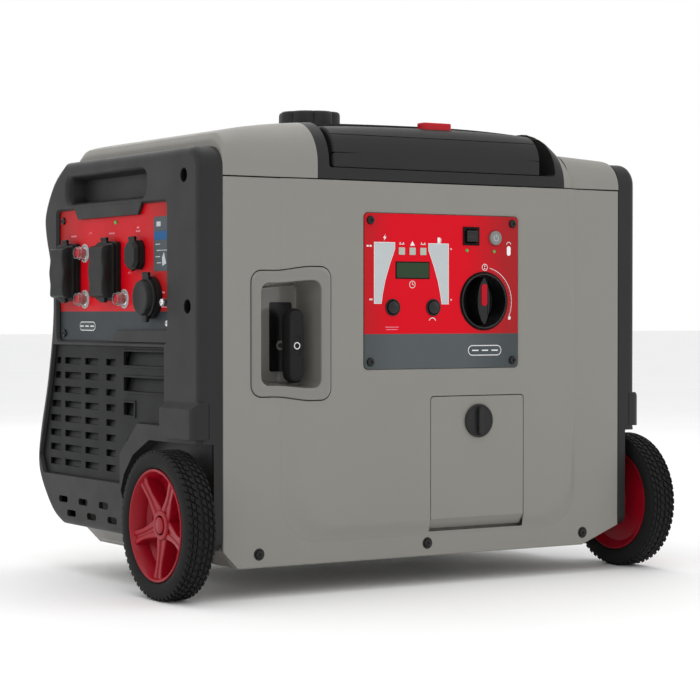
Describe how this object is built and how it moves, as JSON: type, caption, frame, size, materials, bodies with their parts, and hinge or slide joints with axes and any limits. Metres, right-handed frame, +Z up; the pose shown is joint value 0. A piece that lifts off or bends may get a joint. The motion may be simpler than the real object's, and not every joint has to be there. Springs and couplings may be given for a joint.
{
  "type": "inverter generator",
  "caption": "Portable inverter generator in a closed plastic housing with two side wheels, a telescopic handle, a front control panel, a recoil starter and an end panel of covered outlets.",
  "frame": {"origin": "on the floor, under the middle of the whole machine", "axes": "+X along the long side towards the exhaust end, +Y from the control panel to the back, +Z up"},
  "size_m": [0.7274, 0.5027, 0.598],
  "materials": {
    "housing_grey": "satin warm grey moulded plastic",
    "frame_black": "finely textured black moulded plastic",
    "inner_black": "plain black plastic",
    "panel_red": "printed red overlay, semi-gloss",
    "rim_red": "dark red moulded plastic",
    "bezel_grey": "glossy dark grey",
    "button_grey": "satin grey button",
    "button_black": "satin black",
    "breaker_grey": "light grey push button under a clear boot",
    "display_window": "dark green display window",
    "socket_black": "satin black",
    "socket_cover": "matte black elastomer",
    "soft_rubber": "matte black rubber",
    "tyre": "solid rubber tread",
    "rope": "braided starter rope",
    "steel": "zinc plated",
    "aluminium": "drawn tube",
    "cast_alloy": "sand cast",
    "copper": "lacquered windings on a steel core",
    "tank": "blow-moulded polyethylene"
  },
  "bodies": {
    "frame": {"base_pan": "housing_grey", "front_panel": "housing_grey", "back_panel": "housing_grey", "top_cover": "housing_grey", "outlet_end_cap": "frame_black", "exhaust_end_cap": "frame_black", "outlet_grille": "frame_black", "exhaust_grille": "frame_black", "handle_housing": "frame_black", "guide_sleeve_left": "steel", "guide_sleeve_right": "steel", "control_panel": "panel_red", "control_box": "inner_black", "display_window": "display_window", "recoil_bezel": "bezel_grey", "stator": "copper", "engine_block": "cast_alloy", "muffler": "steel", "air_filter_box": "inner_black", "carburettor": "cast_alloy", "battery": "inner_black", "inverter_module": "aluminium", "fuel_tank": "tank", "outlet_panel": "panel_red", "ground_terminal": "steel", "square_socket_near": "socket_black", "square_socket_far": "socket_black", "round_socket": "socket_black", "dc_socket": "socket_black", "axle": "steel", "foot_left": "soft_rubber", "foot_right": "soft_rubber"},
    "wheel_left": {"tyre_left": "tyre", "rim_left": "rim_red"},
    "wheel_right": {"tyre_right": "tyre", "rim_right": "rim_red"},
    "handle": {"handle_grip": "frame_black", "handle_tube_left": "aluminium", "handle_tube_right": "aluminium"},
    "release": {"release_button": "panel_red"},
    "filler_cap": {"fuel_cap": "frame_black"},
    "starter_grip": {"recoil_grip": "soft_rubber", "recoil_rope": "rope"},
    "starter_reel": {"recoil_reel": "inner_black"},
    "crank": {"flywheel_rotor": "steel"},
    "door": {"maintenance_door": "housing_grey"},
    "lock": {"door_lock": "button_black"},
    "dial": {"selector_knob": "button_black"},
    "eco": {"eco_switch": "button_black"},
    "start": {"start_button": "button_grey"},
    "select": {"select_button": "button_black"},
    "reset": {"reset_button": "button_black"},
    "breaker_1": {"breaker_top": "breaker_grey"},
    "breaker_2": {"breaker_far": "breaker_grey"},
    "breaker_3": {"breaker_near": "breaker_grey"},
    "lid_near": {"square_cover_near": "socket_cover"},
    "lid_far": {"square_cover_far": "socket_cover"},
    "lid_round": {"round_cover": "socket_cover"},
    "lid_dc": {"dc_cover": "socket_cover"}
  },
  "joints": [
    {"name": "wheel_left_spin", "type": "hinge", "parent": "frame", "child": "wheel_left", "pos_m": [-0.3447, -0.1624, 0.089], "axis": [1, 0, 0], "continuous": true},
    {"name": "wheel_right_spin", "type": "hinge", "parent": "frame", "child": "wheel_right", "pos_m": [0.3447, -0.1624, 0.089], "axis": [1, 0, 0], "continuous": true},
    {"name": "handle_slide", "type": "slide", "parent": "frame", "child": "handle", "axis": [0, 0, 1], "range_m": [0, 0.35]},
    {"name": "release_press", "type": "slide", "parent": "handle", "child": "release", "axis": [0, 0, -1], "range_m": [0, 0.004], "stiffness_N_per_m": 400, "springref_m": -0.002},
    {"name": "fuel_cap_lift", "type": "slide", "parent": "frame", "child": "filler_cap", "axis": [0, 0, 1], "range_m": [0, 0.06]},
    {"name": "recoil_pull", "type": "slide", "parent": "frame", "child": "starter_grip", "axis": [0, -1, 0], "range_m": [0, 0.28], "stiffness_N_per_m": 20, "springref_m": -0.1},
    {"name": "recoil_reel_turn", "type": "hinge", "parent": "frame", "child": "starter_reel", "pos_m": [-0.192, 0.02, 0.23], "axis": [1, 0, 0], "range_deg": [0, 230]},
    {"name": "crank_spin", "type": "hinge", "parent": "frame", "child": "crank", "pos_m": [-0.1, 0.02, 0.23], "axis": [1, 0, 0], "continuous": true},
    {"name": "door_hinge", "type": "hinge", "parent": "frame", "child": "door", "pos_m": [0.0671, -0.2055, 0.0725], "axis": [1, 0, 0], "range_deg": [0, 75]},
    {"name": "lock_turn", "type": "hinge", "parent": "door", "child": "lock", "pos_m": [0.068, -0.2154, 0.2038], "axis": [0, 1, 0], "range_deg": [0, 90]},
    {"name": "dial_turn", "type": "hinge", "parent": "frame", "child": "dial", "pos_m": [0.077, -0.215, 0.3544], "axis": [0, 1, 0], "range_deg": [0, 120]},
    {"name": "eco_rock", "type": "hinge", "parent": "frame", "child": "eco", "pos_m": [0.0573, -0.2135, 0.4359], "axis": [1, 0, 0], "range_deg": [-8, 8]},
    {"name": "start_press", "type": "slide", "parent": "frame", "child": "start", "axis": [0, 1, 0], "range_m": [0, 0.002], "stiffness_N_per_m": 500, "springref_m": -0.001},
    {"name": "select_press", "type": "slide", "parent": "frame", "child": "select", "axis": [0, 1, 0], "range_m": [0, 0.002], "stiffness_N_per_m": 500, "springref_m": -0.001},
    {"name": "reset_press", "type": "slide", "parent": "frame", "child": "reset", "axis": [0, 1, 0], "range_m": [0, 0.002], "stiffness_N_per_m": 500, "springref_m": -0.001},
    {"name": "breaker_top_press", "type": "slide", "parent": "frame", "child": "breaker_1", "axis": [1, 0, 0], "range_m": [0, 0.0025], "stiffness_N_per_m": 500, "springref_m": -0.001},
    {"name": "breaker_far_press", "type": "slide", "parent": "frame", "child": "breaker_2", "axis": [1, 0, 0], "range_m": [0, 0.0025], "stiffness_N_per_m": 500, "springref_m": -0.001},
    {"name": "breaker_near_press", "type": "slide", "parent": "frame", "child": "breaker_3", "axis": [1, 0, 0], "range_m": [0, 0.0025], "stiffness_N_per_m": 500, "springref_m": -0.001},
    {"name": "square_cover_near_hinge", "type": "hinge", "parent": "frame", "child": "lid_near", "pos_m": [-0.3325, 0.033, 0.4325], "axis": [0, 1, 0], "range_deg": [0, 100], "stiffness_Nm_per_rad": 0.05, "springref_deg": -11.46},
    {"name": "square_cover_far_hinge", "type": "hinge", "parent": "frame", "child": "lid_far", "pos_m": [-0.3325, 0.15, 0.4325], "axis": [0, 1, 0], "range_deg": [0, 100], "stiffness_Nm_per_rad": 0.05, "springref_deg": -11.46},
    {"name": "round_cover_hinge", "type": "hinge", "parent": "frame", "child": "lid_round", "pos_m": [-0.3325, -0.082, 0.387], "axis": [0, 1, 0], "range_deg": [0, 100], "stiffness_Nm_per_rad": 0.04, "springref_deg": -11.46},
    {"name": "dc_cover_hinge", "type": "hinge", "parent": "frame", "child": "lid_dc", "pos_m": [-0.3325, -0.045, 0.4315], "axis": [0, 1, 0], "range_deg": [0, 100], "stiffness_Nm_per_rad": 0.03, "springref_deg": -11.46}
  ],
  "couplings": [
    {"joint": "recoil_reel_turn", "follows": "recoil_pull", "rad_per_m": 14.286}
  ]
}
